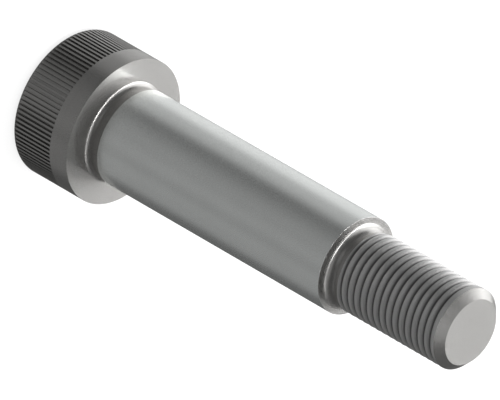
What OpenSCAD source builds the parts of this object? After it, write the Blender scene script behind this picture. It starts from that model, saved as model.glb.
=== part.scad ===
// Shoulder bolt: knurled socket head, ground shoulder and a shorter, thinner
// threaded end, turned from one bar. Millimetres, +Z from the head to the tip.
// The origin is the centre of the head's top face, on which the bolt stands.

/* [Head] */
// Outside diameter of the head
head_d = 18.05; // [17.5:0.05:22]
// Height of the head, from its top face to its bearing face
head_h = 9; // [8:0.5:14]
// Radius that rounds the rim of the top face
rim_round = 0.95; // [0.3:0.05:1.4]

/* [Knurl] */
// Number of straight grooves round the head
knurl_count = 100; // [80:2:110]
// Depth of each groove
knurl_depth = 0.38; // [0.1:0.02:0.44]
// Land left between two grooves, as a share of the pitch
knurl_land = 0.45; // [0.35:0.05:0.55]
// Each flank of a groove, as a share of the pitch
knurl_flank = 0.06; // [0.04:0.01:0.2]
// Plain band between the knurl and the bearing face
plain_band = 2.7; // [1:0.1:4]

/* [Hex socket] */
// Width of the socket across its flats
socket_af = 6; // [5:0.5:8]
// Depth of the hexagonal part
socket_depth = 5; // [4.4:0.1:6]
// Depth of the chamfer at the mouth
socket_chamfer = 0.6; // [0.2:0.1:0.8]

/* [Relief under the head] */
// Diameter of the relief
relief_d = 11.3; // [11:0.1:11.8]
// Width of the relief along the bolt
relief_w = 1.85; // [1.4:0.05:3]
// Fillet that joins the relief to the bearing face
relief_fillet = 0.65; // [0.3:0.05:1.2]

/* [Shoulder] */
// Diameter of the ground shoulder
shoulder_d = 12; // [11.9:0.01:14]
// Length from the bearing face to the end face of the shoulder
shoulder_len = 37.25; // [12:0.25:120]
// Radius that breaks the edge at the end of the shoulder
shoulder_round = 0.06; // [0.04:0.02:0.3]

/* [Thread] */
// Outside diameter of the thread
thread_d = 10; // [9:0.1:10]
// Pitch of the thread
thread_pitch = 1; // [0.75:0.25:1.5]
// Length from the end face of the shoulder to the tip
thread_len = 18.15; // [8:0.05:40]
// Width of the relief between the shoulder and the thread
runout_w = 1.9; // [1.2:0.05:2.5]
// Chamfer at the tip, at 45 degrees
tip_chamfer = 0.95; // [0.5:0.05:1.2]

/* [Hidden] */
$fn = 96;
head_r = head_d / 2;
relief_r = relief_d / 2;
shoulder_r = shoulder_d / 2;
thread_r = thread_d / 2;
// The relief next to the thread goes a little below the root of the thread.
runout_r = thread_r - 0.65 * thread_pitch;
runout_fillet = 1.05;
// The thread starts with a sharp edge, broken at 45 degrees.
start_chamfer = 0.1 * thread_pitch;
z_knurl = head_h - plain_band;
z_end = head_h + shoulder_len;
z_tip = z_end + thread_len;
step = 360 / knurl_count;
eps = 0.01;

// A point at radius r and angle a.
function polar(r, a) = [r * cos(a), r * sin(a)];
// The point that lies k times as far from p as q does, on the same line.
function beyond(p, q, k) = p + k * (q - p);

// Cross-section of the knurl: a flat-bottomed groove with steep flanks in the
// middle of each step, and lands that stand clear of the head's radius, so that
// the turned rim trims them.
module knurl_section() {
    root = head_r - knurl_depth;
    top = step * knurl_land / 2;
    foot = step * (knurl_land / 2 + knurl_flank);
    polygon([
        for (i = [0 : knurl_count - 1])
            for (p = [
                polar(root, i * step - foot),
                beyond(polar(root, i * step - foot), polar(head_r, i * step - top), 1.25),
                beyond(polar(root, i * step + foot), polar(head_r, i * step + top), 1.25),
                polar(root, i * step + foot)
            ]) p
    ]);
}

// Turned outline of the head, with the rounded rim at z = 0.
module head_outline() {
    difference() {
        square([head_r, head_h]);
        difference() {
            translate([head_r - rim_round, -eps]) square([rim_round + eps, rim_round + eps]);
            translate([head_r - rim_round, rim_round]) circle(rim_round);
        }
    }
}

// Head: the turned outline, trimmed to the knurl. The grooves run out upwards
// at 45 degrees before the plain band.
module head_blank() {
    intersection() {
        rotate_extrude() head_outline();
        union() {
            translate([0, 0, -eps]) linear_extrude(z_knurl + eps) knurl_section();
            translate([0, 0, z_knurl - knurl_depth])
                cylinder(h = knurl_depth, r1 = head_r - knurl_depth, r2 = head_r);
            translate([0, 0, z_knurl]) cylinder(h = plain_band + 1, r = head_r + 1);
        }
    }
}

// Hexagonal socket with a chamfered mouth and the cone that a drill leaves.
module socket() {
    across = socket_af / cos(30);
    translate([0, 0, -eps]) cylinder(h = socket_depth + eps, d = across, $fn = 6);
    translate([0, 0, -eps])
        cylinder(h = socket_chamfer + eps, r1 = socket_af / 2 + socket_chamfer + eps, r2 = socket_af / 2);
    translate([0, 0, socket_depth - eps])
        cylinder(h = socket_af / 2 * tan(30), r1 = socket_af / 2 - 0.05, r2 = 0);
}

// Turned outline of everything past the bearing face: relief, shoulder,
// relief and thread, which is drawn at its outside diameter.
module shank_outline() {
    // Relief under the head, with its fillet against the bearing face
    translate([0, head_h - 1]) square([relief_r, relief_w + 1 + eps]);
    difference() {
        translate([0, head_h - 1]) square([relief_r + relief_fillet, relief_fillet + 1]);
        translate([relief_r + relief_fillet, head_h + relief_fillet]) circle(relief_fillet);
    }
    // Ground shoulder with its broken edge
    difference() {
        translate([0, head_h + relief_w]) square([shoulder_r, shoulder_len - relief_w]);
        difference() {
            translate([shoulder_r - shoulder_round, z_end - shoulder_round])
                square([shoulder_round + eps, shoulder_round + eps]);
            translate([shoulder_r - shoulder_round, z_end - shoulder_round]) circle(shoulder_round);
        }
    }
    // Relief next to the thread, with its fillet against the shoulder
    translate([0, z_end - 1]) square([runout_r, runout_w + 1 + eps]);
    difference() {
        translate([0, z_end - 1]) square([runout_r + runout_fillet, runout_fillet + 1]);
        translate([runout_r + runout_fillet, z_end + runout_fillet]) circle(runout_fillet);
    }
    // Threaded end, chamfered at both ends
    polygon([
        [0, z_end + runout_w],
        [thread_r - start_chamfer, z_end + runout_w],
        [thread_r, z_end + runout_w + start_chamfer],
        [thread_r, z_tip - tip_chamfer],
        [thread_r - tip_chamfer, z_tip],
        [0, z_tip]
    ]);
}

// The whole bolt, one solid turned from one bar.
module shoulder_bolt() {
    color([0.52, 0.53, 0.52])
    difference() {
        union() {
            head_blank();
            rotate_extrude() shank_outline();
        }
        socket();
    }
}

shoulder_bolt();
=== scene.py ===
import math

import bpy
import numpy as np
from mathutils import Matrix, Vector


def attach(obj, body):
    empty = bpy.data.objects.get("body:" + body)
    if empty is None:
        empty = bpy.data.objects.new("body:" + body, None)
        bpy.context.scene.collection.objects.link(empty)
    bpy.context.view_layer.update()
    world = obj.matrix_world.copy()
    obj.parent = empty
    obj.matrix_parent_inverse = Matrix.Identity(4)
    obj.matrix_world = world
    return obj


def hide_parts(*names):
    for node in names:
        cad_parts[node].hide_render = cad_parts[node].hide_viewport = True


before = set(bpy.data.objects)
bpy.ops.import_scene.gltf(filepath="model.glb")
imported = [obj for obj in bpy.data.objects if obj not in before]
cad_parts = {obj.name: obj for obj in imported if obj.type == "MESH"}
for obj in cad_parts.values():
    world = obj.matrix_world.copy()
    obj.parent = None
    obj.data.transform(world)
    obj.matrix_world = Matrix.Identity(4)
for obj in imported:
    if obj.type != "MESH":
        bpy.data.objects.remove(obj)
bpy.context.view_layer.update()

# ---------------------------------------------------------------------------
# Dimensions in millimetres, the same as in the CAD model.
# ---------------------------------------------------------------------------
HEAD_R = 18.05 / 2
HEAD_H = 9.0
RIM = 0.95                 # radius that rounds the rim of the top face
KNURLS = 100
KNURL_DEPTH = 0.38
LAND = 0.45                # share of the pitch that is land
FLANK = 0.06               # share of the pitch that each flank of a groove takes
Z_KNURL = HEAD_H - 2.7     # the grooves end here
SOCKET_AF = 6.0
SOCKET_DEPTH = 5.0
SOCKET_CHAMFER = 0.6
RELIEF_R = 11.3 / 2
RELIEF_W = 1.85
RELIEF_FILLET = 0.65
SHOULDER_R = 6.0
Z_END = HEAD_H + 37.25
SHOULDER_EDGE = 0.03       # the break on the edge of the shoulder, finer than in the CAD model so that it does not glint
THREAD_R = 5.0
PITCH = 1.0
Z_TIP = Z_END + 18.15
RUNOUT_R = 4.35
RUNOUT_W = 1.9
RUNOUT_FILLET = 1.05
START_CHAMFER = 0.1
TIP_CHAMFER = 0.95
CREST_PHASE = 0.05         # height, modulo the pitch, of a crest on the -Y side
CREST_ROUND = 0.42         # radius of the crests
ROOT_ROUND = 0.12          # radius of the roots

NS = 192                   # segments round the shank

# Material indices
GROUND, TURNED, KNURLED, THREADED, SOCKET = range(5)


# ---------------------------------------------------------------------------
# Mesh building
# ---------------------------------------------------------------------------
class Builder:
    def __init__(self):
        self.v, self.f, self.m = [], [], []

    def ring(self, angles, radii, z):
        """A ring of vertices. radii and z may be one number or one per angle."""
        n = len(angles)
        r = np.broadcast_to(np.asarray(radii, float), (n,))
        zz = np.broadcast_to(np.asarray(z, float), (n,))
        start = len(self.v)
        for a, ri, zi in zip(angles, r, zz):
            self.v.append((ri * math.cos(a), ri * math.sin(a), zi))
        return list(range(start, start + n))

    def tri(self, a, b, c, m):
        if a != b and b != c and a != c:
            self.f.append((a, b, c))
            self.m.append(m)

    def band(self, lower, upper, m):
        """Joins two rings of equal count. Seen from outside, upper is further along the outline."""
        n = len(lower)
        for i in range(n):
            j = (i + 1) % n
            self.tri(lower[i], lower[j], upper[j], m)
            self.tri(lower[i], upper[j], upper[i], m)

    def merge(self, lower, la, upper, ua, m):
        """Joins two rings of different counts, both given with rising angles from the same start."""
        i = j = 0
        nl, nu = len(lower), len(upper)
        la = list(la) + [la[0] + 2 * math.pi]
        ua = list(ua) + [ua[0] + 2 * math.pi]
        while i < nl or j < nu:
            go_low = j >= nu or (i < nl and la[i + 1] <= ua[j + 1] + 1e-9)
            if go_low:
                self.tri(lower[i % nl], lower[(i + 1) % nl], upper[j % nu], m)
                i += 1
            else:
                self.tri(lower[i % nl], upper[(j + 1) % nu], upper[j % nu], m)
                j += 1


def arc(cz, cr, radius, a0, a1, n):
    """Points (z, r) on a circle in the outline's plane. Angle 0 points to +r, 90 to +z."""
    out = []
    for k in range(n + 1):
        a = math.radians(a0 + (a1 - a0) * k / n)
        out.append((cz + radius * math.sin(a), cr + radius * math.cos(a)))
    return out


B = Builder()

# ----- head: angles with eight steps to each knurl pitch
tooth = [-0.5, -LAND / 2 - FLANK, -LAND / 2, -0.12, 0.0, 0.12, LAND / 2, LAND / 2 + FLANK]
head_frac = np.array([k + t for k in range(KNURLS) for t in tooth])
head_ang = (head_frac + 0.5) * 2 * math.pi / KNURLS - math.pi / KNURLS
to_land = np.abs((head_frac + 0.5) % 1.0 - 0.5)       # 0 on the land's middle, 0.5 in the groove
knurl_r = np.where(
    to_land <= LAND / 2 + 1e-9,
    HEAD_R,
    HEAD_R - KNURL_DEPTH * np.minimum((to_land - LAND / 2) / FLANK, 1.0),
)
NH = len(head_ang)
plain = np.full(NH, HEAD_R)

# ----- socket, from the drill's cone up to the mouth
sock_n = 72
sock_ang = np.arange(sock_n) * 2 * math.pi / sock_n + head_ang[0]
# shift the socket's grid so that its corners fall on vertices
sock_ang = np.arange(sock_n) * 2 * math.pi / sock_n
rel = (sock_ang - math.radians(30)) % math.radians(60)
rel = np.minimum(rel, math.radians(60) - rel)
hex_r = SOCKET_AF / 2 / np.cos(rel)
mouth_r = SOCKET_AF / 2 + SOCKET_CHAMFER
cone_r = SOCKET_AF / 2 - 0.05
apex = len(B.v)
B.v.append((0.0, 0.0, SOCKET_DEPTH + SOCKET_AF / 2 * math.tan(math.radians(30))))
cone_ring = B.ring(sock_ang, cone_r, SOCKET_DEPTH)
for i in range(sock_n):
    B.tri(cone_ring[i], apex, cone_ring[(i + 1) % sock_n], SOCKET)
floor_ring = B.ring(sock_ang, hex_r, SOCKET_DEPTH)
wall_top = B.ring(sock_ang, hex_r, mouth_r - hex_r)
mouth_ring = B.ring(sock_ang, mouth_r, 0.0)


def inward(lower, upper, m):
    n = len(lower)
    for i in range(n):
        j = (i + 1) % n
        B.tri(lower[i], upper[j], lower[j], m)
        B.tri(lower[i], upper[i], upper[j], m)


inward(floor_ring, cone_ring, SOCKET)
inward(wall_top, floor_ring, SOCKET)
inward(mouth_ring, wall_top, SOCKET)

# ----- head outline from the top face's edge to the bearing face
meets = math.degrees(math.acos((RIM - KNURL_DEPTH) / RIM))     # where the grooves' floor leaves the rim
rim_alpha = [90, 82, 74, 66, 60, meets, 48, 43, 38, 33, 28, 23, 18, 12, 6, 0]
prev = None
top_edge = None
for al in rim_alpha:
    a = math.radians(al)
    z, r = RIM - RIM * math.sin(a), HEAD_R - RIM + RIM * math.cos(a)
    rg = B.ring(head_ang, np.minimum(knurl_r, r), z)
    if prev is not None:
        B.band(prev, rg, KNURLED)
    else:
        top_edge = rg
    prev = rg
for z in (2.0, 3.2, 4.4, Z_KNURL - KNURL_DEPTH, Z_KNURL - 0.25, Z_KNURL - 0.12):
    rg = B.ring(head_ang, np.maximum(knurl_r, HEAD_R - (Z_KNURL - z)) if z > 5 else knurl_r, z)
    B.band(prev, rg, KNURLED)
    prev = rg
for z, m in ((Z_KNURL, KNURLED), (HEAD_H, TURNED)):
    rg = B.ring(head_ang, plain, z)
    B.band(prev, rg, m)
    prev = rg
bearing_outer = prev

# top face: between the socket's mouth and the rim
h_ord = np.argsort(head_ang % (2 * math.pi))
ha = (head_ang % (2 * math.pi))[h_ord]
top_sorted = [top_edge[k] for k in h_ord]
B.merge(mouth_ring, sock_ang, top_sorted, ha, TURNED)

# ----- shank outline
shank_ang = np.arange(NS) * 2 * math.pi / NS
fillet = arc(HEAD_H + RELIEF_FILLET, RELIEF_R + RELIEF_FILLET, RELIEF_FILLET, 270, 180, 14)
inner = B.ring(shank_ang, fillet[0][1], fillet[0][0])
bo_sorted = [bearing_outer[k] for k in h_ord]
B.merge(bo_sorted, ha, inner, shank_ang, TURNED)
prev = inner


def follow(points, m):
    global prev
    for z, r in points:
        rg = B.ring(shank_ang, r, z)
        B.band(prev, rg, m)
        prev = rg


follow(fillet[1:], TURNED)
follow([(HEAD_H + RELIEF_W, RELIEF_R)], TURNED)
follow([(HEAD_H + RELIEF_W, SHOULDER_R - 0.03), (HEAD_H + RELIEF_W + 0.03, SHOULDER_R)], TURNED)
follow([(16.0, SHOULDER_R), (22.0, SHOULDER_R), (28.0, SHOULDER_R), (34.0, SHOULDER_R), (40.0, SHOULDER_R)], GROUND)
end_arc = arc(Z_END - SHOULDER_EDGE, SHOULDER_R - SHOULDER_EDGE, SHOULDER_EDGE, 0, 90, 4)
follow(end_arc[:1], GROUND)
follow(end_arc[1:-1], THREADED)          # the break is dull
follow(end_arc[-1:], TURNED)
neck_arc = arc(Z_END + RUNOUT_FILLET, RUNOUT_R + RUNOUT_FILLET, RUNOUT_FILLET, 270, 180, 14)
follow(neck_arc, TURNED)
follow([(Z_END + RUNOUT_W, RUNOUT_R)], TURNED)

# ----- thread: 60 degree flanks between rounded crests and roots, wound as a right-hand helix
Z_S = Z_END + RUNOUT_W
Z_C = Z_TIP - TIP_CHAMFER
SIN60 = math.sin(math.radians(60))
FLANK_W = 0.5 - (CREST_ROUND + ROOT_ROUND) * SIN60
THREAD_DEPTH = (CREST_ROUND + ROOT_ROUND) / 2 + FLANK_W * math.sqrt(3)
half = [ROOT_ROUND * math.sin(math.radians(q)) for q in (30, 60)]
half += [0.5 - CREST_ROUND * SIN60 - FLANK_W / 2]
half += [0.5 - CREST_ROUND * math.sin(math.radians(q)) for q in (60, 45, 30, 15)]
FEATURES = [0.0] + half + [0.5] + [1.0 - x for x in reversed(half)]


def depth_at(u):
    """Depth below the crest, in pitches, u pitches away from the middle of a groove."""
    x = 0.5 - abs(u)              # from the middle of the crest
    if x <= CREST_ROUND * SIN60:
        return CREST_ROUND - math.sqrt(CREST_ROUND ** 2 - x * x)
    if abs(u) >= ROOT_ROUND * SIN60:
        return CREST_ROUND / 2 + (x - CREST_ROUND * SIN60) * math.sqrt(3)
    return THREAD_DEPTH - ROOT_ROUND + math.sqrt(ROOT_ROUND ** 2 - u * u)


def groove_share(zg):
    """The grooves fade out just before the tip's chamfer."""
    t = (zg - (Z_C - 0.52)) / 0.36
    t = min(max(t, 0.0), 1.0)
    return 1 - t * t * (3 - 2 * t)


groove0 = CREST_PHASE - 0.5 * PITCH      # a groove's middle on the -Y side, modulo the pitch


def thread_r(z, ang):
    turn = (ang - 1.5 * math.pi) / (2 * math.pi)
    x = (z - groove0 - turn * PITCH) / PITCH
    k = math.floor(x + 0.5)
    zg = groove0 + (k + turn) * PITCH
    r = THREAD_R - depth_at(x - k) * PITCH * groove_share(zg)
    return min(r, THREAD_R - START_CHAMFER + (z - Z_S))


columns = []
NF = len(FEATURES)
for j in range(NS):
    ang = shank_ang[j]
    turn = (ang - 1.5 * math.pi) / (2 * math.pi)
    pts = [(Z_S, "start")]
    fixed = [Z_S, Z_S + START_CHAMFER / 2, Z_S + START_CHAMFER, Z_C]
    first = math.floor((Z_S - groove0 - turn * PITCH) / PITCH) - 1
    for k in range(first, first + 20):
        for i, u in enumerate(FEATURES):
            z = groove0 + (k + turn + u) * PITCH
            if Z_S < z < Z_C and min(abs(z - q) for q in fixed) > 0.012:
                pts.append((z, k * NF + i))
    pts += [(Z_S + START_CHAMFER / 2, "c1"), (Z_S + START_CHAMFER, "c2"), (Z_C, "end")]
    pts.sort(key=lambda p: p[0])
    col = []
    for z, key in pts:
        r = thread_r(z, ang)
        B.v.append((r * math.cos(ang), r * math.sin(ang), z))
        col.append((z, key, len(B.v) - 1))
    columns.append(col)

first_ring = [c[0][2] for c in columns]
B.band(prev, first_ring, THREADED)      # the wall where the thread starts
for j in range(NS):
    P, Q = columns[j], columns[(j + 1) % NS]
    if j == NS - 1:                     # after a full turn the helix is one pitch on
        Q = [(z, key - NF if isinstance(key, int) else key, idx) for z, key, idx in Q]
    pk, qk = {p[1]: n for n, p in enumerate(P)}, {q[1]: n for n, q in enumerate(Q)}
    a = b = 0
    while a < len(P) - 1 or b < len(Q) - 1:
        if a == len(P) - 1:
            step = "q"
        elif b == len(Q) - 1:
            step = "p"
        else:
            kp, kq = P[a + 1][1], Q[b + 1][1]
            if kp == kq:
                step = "both"
            elif qk.get(kp, -1) > b + 1 and not pk.get(kq, -1) > a + 1:
                step = "q"
            elif pk.get(kq, -1) > a + 1 and not qk.get(kp, -1) > b + 1:
                step = "p"
            else:
                step = "p" if P[a + 1][0] <= Q[b + 1][0] else "q"
        if step == "both":
            B.tri(P[a][2], Q[b][2], Q[b + 1][2], THREADED)
            B.tri(P[a][2], Q[b + 1][2], P[a + 1][2], THREADED)
            a, b = a + 1, b + 1
        elif step == "p":
            B.tri(P[a][2], Q[b][2], P[a + 1][2], THREADED)
            a += 1
        else:
            B.tri(P[a][2], Q[b][2], Q[b + 1][2], THREADED)
            b += 1
prev = [c[-1][2] for c in columns]
follow([(Z_TIP, THREAD_R - TIP_CHAMFER)], TURNED)
centre = len(B.v)
B.v.append((0.0, 0.0, Z_TIP))
for i in range(NS):
    B.tri(prev[i], prev[(i + 1) % NS], centre, TURNED)

verts = np.array(B.v)
faces = np.array(B.f, dtype=np.int64)
mats = np.array(B.m, dtype=np.int32)

# ----- corner normals: faces that meet at under the limit blend, weighted by area
LIMIT = math.cos(math.radians(42))
p0, p1, p2 = (verts[faces[:, k]] for k in range(3))
cr = np.cross(p1 - p0, p2 - p0)
area2 = np.linalg.norm(cr, axis=1)
keep = area2 > 1e-9
fn = cr / np.maximum(area2, 1e-12)[:, None]
corner_v = faces.reshape(-1)
corner_f = np.repeat(np.arange(len(faces)), 3)
order = np.argsort(corner_v, kind="stable")
cv, cf = corner_v[order], corner_f[order]
starts = np.flatnonzero(np.r_[True, cv[1:] != cv[:-1]])
counts = np.diff(np.r_[starts, len(cv)])
corner_n = np.zeros((len(cv), 3))
for d in np.unique(counts):
    s = starts[counts == d]
    idx = s[:, None] + np.arange(d)[None, :]
    f = cf[idx]
    n = fn[f]
    w = area2[f]
    dots = np.einsum("vik,vjk->vij", n, n)
    mask = (dots > LIMIT) * w[:, None, :]
    # weld only the same kind of surface across flat or long faces
    s_n = np.einsum("vij,vjk->vik", mask, n)
    ln = np.linalg.norm(s_n, axis=2, keepdims=True)
    corner_n[idx] = np.where(ln > 1e-15, s_n / np.maximum(ln, 1e-15), n)
normals = np.zeros_like(corner_n)
normals[order] = corner_n

print("triangles", len(faces), "dropped as empty", int((~keep).sum()))
mesh = bpy.data.meshes.new("shoulder_bolt_body")
mesh.vertices.add(len(verts))
mesh.vertices.foreach_set("co", (verts * 0.001).astype(np.float32).ravel())
mesh.loops.add(len(faces) * 3)
mesh.loops.foreach_set("vertex_index", faces.astype(np.int32).ravel())
mesh.polygons.add(len(faces))
mesh.polygons.foreach_set("loop_start", np.arange(0, len(faces) * 3, 3, dtype=np.int32))
mesh.polygons.foreach_set("loop_total", np.full(len(faces), 3, dtype=np.int32))
mesh.polygons.foreach_set("material_index", mats)
mesh.polygons.foreach_set("use_smooth", np.ones(len(faces), dtype=bool))
mesh.update(calc_edges=True)
mesh.validate(verbose=False)
mesh.normals_split_custom_set([tuple(n) for n in normals])
bolt = bpy.data.objects.new("shoulder_bolt_body", mesh)
bpy.context.scene.collection.objects.link(bolt)


# ---------------------------------------------------------------------------
# Materials: one bar of steel, with the finish that each tool leaves on it
# ---------------------------------------------------------------------------
def new_material(name):
    mat = bpy.data.materials.new(name)
    mat.use_nodes = True
    nt = mat.node_tree
    return mat, nt, nt.nodes["Principled BSDF"]


def node_of(nt, kind, **values):
    n = nt.nodes.new(kind)
    for k, v in values.items():
        setattr(n, k, v)
    return n


def spread(nt, source, lo, hi, v0, v1):
    """Maps source from lo..hi to v0..v1."""
    n = node_of(nt, "ShaderNodeMapRange")
    for name, v in (("From Min", lo), ("From Max", hi), ("To Min", v0), ("To Max", v1)):
        n.inputs[name].default_value = v
    nt.links.new(source, n.inputs["Value"])
    return n.outputs["Result"]


def noise(nt, vector, scale, detail=2.0):
    n = node_of(nt, "ShaderNodeTexNoise")
    n.inputs["Scale"].default_value = scale
    n.inputs["Detail"].default_value = detail
    nt.links.new(vector, n.inputs["Vector"])
    return n.outputs["Fac"]


def steel(name, colour, smooth, rough, share, marks, bump, roots=None):
    """Steel whose finest grain is partly smooth and partly rough.

    share is how much of the grain is rough. marks says along what the tool
    left its lines: "turned" round the axis or "along" it. roots, for a thread,
    is a lower and an upper radius in metres and the tone at each of them: painted
    shade that darkens the colour towards the roots of the grooves.
    """
    mat, nt, bsdf = new_material(name)
    bsdf.inputs["Metallic"].default_value = 1.0
    coord = node_of(nt, "ShaderNodeTexCoord").outputs["Object"]
    grain = noise(nt, coord, 30000.0, 1.0)
    edge = 0.5 + (0.5 - share) * 0.22
    nt.links.new(spread(nt, grain, edge - 0.035, edge + 0.035, smooth, rough), bsdf.inputs["Roughness"])
    # lines left by the tool: noise drawn out round the axis or along it
    sep = node_of(nt, "ShaderNodeSeparateXYZ")
    nt.links.new(coord, sep.inputs[0])
    rad = node_of(nt, "ShaderNodeVectorMath", operation="LENGTH")
    flat = node_of(nt, "ShaderNodeCombineXYZ")
    nt.links.new(sep.outputs["X"], flat.inputs["X"])
    nt.links.new(sep.outputs["Y"], flat.inputs["Y"])
    nt.links.new(flat.outputs[0], rad.inputs[0])
    line = node_of(nt, "ShaderNodeCombineXYZ")
    if marks == "turned":
        nt.links.new(rad.outputs["Value"], line.inputs["X"])
        nt.links.new(sep.outputs["Z"], line.inputs["Y"])
        lines = noise(nt, line.outputs[0], 9000.0, 2.0)
    else:
        squash = node_of(nt, "ShaderNodeVectorMath", operation="MULTIPLY")
        squash.inputs[1].default_value = (1.0, 1.0, 0.02)
        nt.links.new(coord, squash.inputs[0])
        lines = noise(nt, squash.outputs[0], 6000.0, 2.0)
    cloud = noise(nt, coord, 160.0, 3.0)
    # the colour drifts by a few per cent with the lines and with slow clouds
    tone = node_of(nt, "ShaderNodeMath", operation="MULTIPLY")
    nt.links.new(spread(nt, lines, 0.3, 0.7, 0.97, 1.03), tone.inputs[0])
    nt.links.new(spread(nt, cloud, 0.3, 0.7, 0.985, 1.015), tone.inputs[1])
    if roots:                     # painted shade: the colour darkens towards the roots of the grooves, standing in for the shade that falls there
        painted_groove_shade = node_of(nt, "ShaderNodeMath", operation="MULTIPLY")
        nt.links.new(tone.outputs[0], painted_groove_shade.inputs[0])
        nt.links.new(spread(nt, rad.outputs["Value"], *roots), painted_groove_shade.inputs[1])
        tone = painted_groove_shade
    paint = node_of(nt, "ShaderNodeVectorMath", operation="SCALE")
    paint.inputs[0].default_value = colour
    nt.links.new(tone.outputs[0], paint.inputs["Scale"])
    nt.links.new(paint.outputs[0], bsdf.inputs["Base Color"])
    b = node_of(nt, "ShaderNodeBump")
    b.inputs["Strength"].default_value = bump
    b.inputs["Distance"].default_value = 0.00001
    nt.links.new(lines, b.inputs["Height"])
    nt.links.new(b.outputs[0], bsdf.inputs["Normal"])
    return mat


def tint(value, r, g, b):
    return (value * r, value * g, value * b)


m_ground = steel("steel_ground", tint(0.90, 0.972, 1.0, 0.985), 0.20, 0.45, 0.5, "turned", 0.05)
m_turned = steel("steel_turned", tint(0.43, 1.013, 1.0, 0.976), 0.15, 0.50, 0.55, "turned", 0.05)
m_knurl = steel("steel_knurled", tint(0.40, 1.013, 1.0, 0.976), 0.18, 0.50, 0.5, "along", 0.05)
# the last argument is painted shade in the thread's grooves: a third of the colour at the roots, full from just
# under the crests
m_thread = steel("steel_threaded", tint(0.72, 1.002, 1.0, 0.995), 0.35, 0.70, 0.5, "turned", 0.05, (0.0047, 0.00497, 0.33, 1.0))
m_socket = steel("steel_broached", tint(0.36, 1.013, 1.0, 0.976), 0.25, 0.50, 0.6, "along", 0.1)
for m in (m_ground, m_turned, m_knurl, m_thread, m_socket):
    mesh.materials.append(m)

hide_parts("shoulder_bolt")
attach(bolt, "root")

# ---------------------------------------------------------------------------
# Camera: the photograph's isometric view, from the threaded end, rolled so
# that the bolt's axis runs to the lower right
# ---------------------------------------------------------------------------
ELEV = math.radians(35.6)
PX_PER_MM = 8.87
LENS = 1380.0
to_cam = Vector((0.0, -math.cos(ELEV), math.sin(ELEV)))
along = (Vector((0, 0, 1)) - to_cam * to_cam.z).normalized()     # the axis as the picture shows it
side = to_cam.cross(along)                                       # towards the picture's upper right
c30, s30 = math.cos(math.radians(30)), math.sin(math.radians(30))
right = along * c30 + side * s30
up = side * c30 - along * s30
cam_data = bpy.data.cameras.new("camera")
cam_data.sensor_width = 36.0
cam_data.lens = LENS
dist = LENS * 500 / 36.0 / PX_PER_MM * 0.001
AIM = along * 0.023632 + side * 0.000473 + to_cam * (to_cam.z * 0.02905)
cam = bpy.data.objects.new("camera", cam_data)
bpy.context.scene.collection.objects.link(cam)
rot = Matrix((right, up, to_cam)).transposed()
cam.matrix_world = Matrix.Translation(AIM + to_cam * dist) @ rot.to_4x4()
cam_data.clip_start = 0.05
cam_data.clip_end = 20.0
bpy.context.scene.camera = cam

# ---------------------------------------------------------------------------
# Floor
# ---------------------------------------------------------------------------
fm = bpy.data.meshes.new("floor")
S = 1.5
fm.from_pydata([(-S, -S, 0), (S, -S, 0), (S, S, 0), (-S, S, 0)], [], [(0, 1, 2, 3)])
floor = bpy.data.objects.new("floor", fm)
bpy.context.scene.collection.objects.link(floor)
mat, nt, bsdf = new_material("floor_white")
bsdf.inputs["Base Color"].default_value = (0.2, 0.2, 0.2, 1)
bsdf.inputs["Roughness"].default_value = 0.9
bsdf.inputs["Specular IOR Level"].default_value = 0.0
bsdf.inputs["Emission Color"].default_value = (1, 1, 1, 1)      # lit from below too, like a light table
bsdf.inputs["Emission Strength"].default_value = 0.81
fm.materials.append(mat)
floor.visible_glossy = False

# ---------------------------------------------------------------------------
# Studio light: a plain surround with soft boxes, painted by direction
# ---------------------------------------------------------------------------
world = bpy.data.worlds.new("studio")
bpy.context.scene.world = world
world.use_nodes = True
wn = world.node_tree
wn.nodes.clear()
coord = wn.nodes.new("ShaderNodeTexCoord")
D = coord.outputs["Generated"]


def wmath(op, a, b=None, c=None):
    n = wn.nodes.new("ShaderNodeMath")
    n.operation = op
    for k, x in enumerate((a, b, c)):
        if x is None:
            continue
        if isinstance(x, (int, float)):
            n.inputs[k].default_value = x
        else:
            wn.links.new(x, n.inputs[k])
    return n.outputs[0]


def wdot(vec):
    n = wn.nodes.new("ShaderNodeVectorMath")
    n.operation = "DOT_PRODUCT"
    wn.links.new(D, n.inputs[0])
    n.inputs[1].default_value = vec
    return n.outputs["Value"]


def step(x, lo, hi, v0=0.0, v1=1.0):
    n = wn.nodes.new("ShaderNodeMapRange")
    n.interpolation_type = "SMOOTHSTEP"
    n.inputs["From Min"].default_value = lo
    n.inputs["From Max"].default_value = hi
    n.inputs["To Min"].default_value = v0
    n.inputs["To Max"].default_value = v1
    wn.links.new(x, n.inputs["Value"])
    return n.outputs["Result"]


def towards(elev, azim):
    """A direction. Azimuth 0 is the camera's side, and 90 the picture's upper right."""
    e, a = math.radians(elev), math.radians(azim)
    return (-math.cos(e) * math.sin(a), -math.cos(e) * math.cos(a), math.sin(e))


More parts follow.
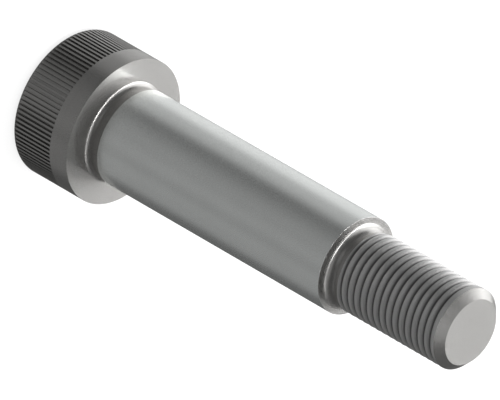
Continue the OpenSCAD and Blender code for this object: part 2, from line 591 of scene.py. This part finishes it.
def soft_light(elev, azim, full, none, strength):
    """A round soft light: full strength inside the angle full, nothing outside none."""
    angle = wmath("ARCCOSINE", wdot(towards(elev, azim)))
    return step(angle, math.radians(none), math.radians(full), 0.0, strength)


ROOM = 0.115
LIGHTS = [
    # elevation, azimuth, full, none, strength
    (68, 149, 5, 18, 15.5),      # key: soft boxes in a row, high behind the right
    (80, 120, 5, 18, 6.4),
    (45, 150, 5, 18, 4.4),
    (35, 165, 5, 18, 0.8),
    (90, 0, 4, 14, 8.3),         # small overhead lights
    (77, 240, 4, 13, 2.6),
    (65, 234, 4, 13, 1.3),
    (53, 224, 4, 13, 0.7),
    (0, 135, 10, 34, 1.80),      # wide lights behind the right, from the table's height up
    (30, 135, 10, 34, 1.20),
    (45, 110, 10, 34, 0.75),
    (22, 110, 5, 18, 0.50),
    (60, 0, 10, 34, 0.12),       # over the camera
    (0, 0, 10, 34, 0.20),
    (60, 300, 10, 34, 0.35),     # left, high
    (60, 240, 10, 34, 0.24),
    (-60, 0, 14, 44, 0.20),      # what the table sends back, brighter under the key
    (-30, 90, 10, 34, 0.35),
    (-30, 135, 10, 34, 0.67),
    (-30, 270, 10, 34, 0.18),
    (-30, 315, 10, 34, 0.13),
]
mix = ROOM
for light in LIGHTS:
    mix = wmath("ADD", soft_light(*light), mix)
comb = wn.nodes.new("ShaderNodeCombineColor")
for k in range(3):
    wn.links.new(mix, comb.inputs[k])
bg = wn.nodes.new("ShaderNodeBackground")
wn.links.new(comb.outputs[0], bg.inputs["Color"])
white = wn.nodes.new("ShaderNodeBackground")
white.inputs["Color"].default_value = (1, 1, 1, 1)
white.inputs["Strength"].default_value = 1.0
path = wn.nodes.new("ShaderNodeLightPath")
plain_ray = wmath("MAXIMUM", path.outputs["Is Camera Ray"], path.outputs["Is Diffuse Ray"])
pick = wn.nodes.new("ShaderNodeMixShader")
wn.links.new(plain_ray, pick.inputs[0])
wn.links.new(bg.outputs[0], pick.inputs[1])
wn.links.new(white.outputs[0], pick.inputs[2])
out = wn.nodes.new("ShaderNodeOutputWorld")
wn.links.new(pick.outputs[0], out.inputs["Surface"])

bpy.context.scene.view_settings.view_transform = "Standard"
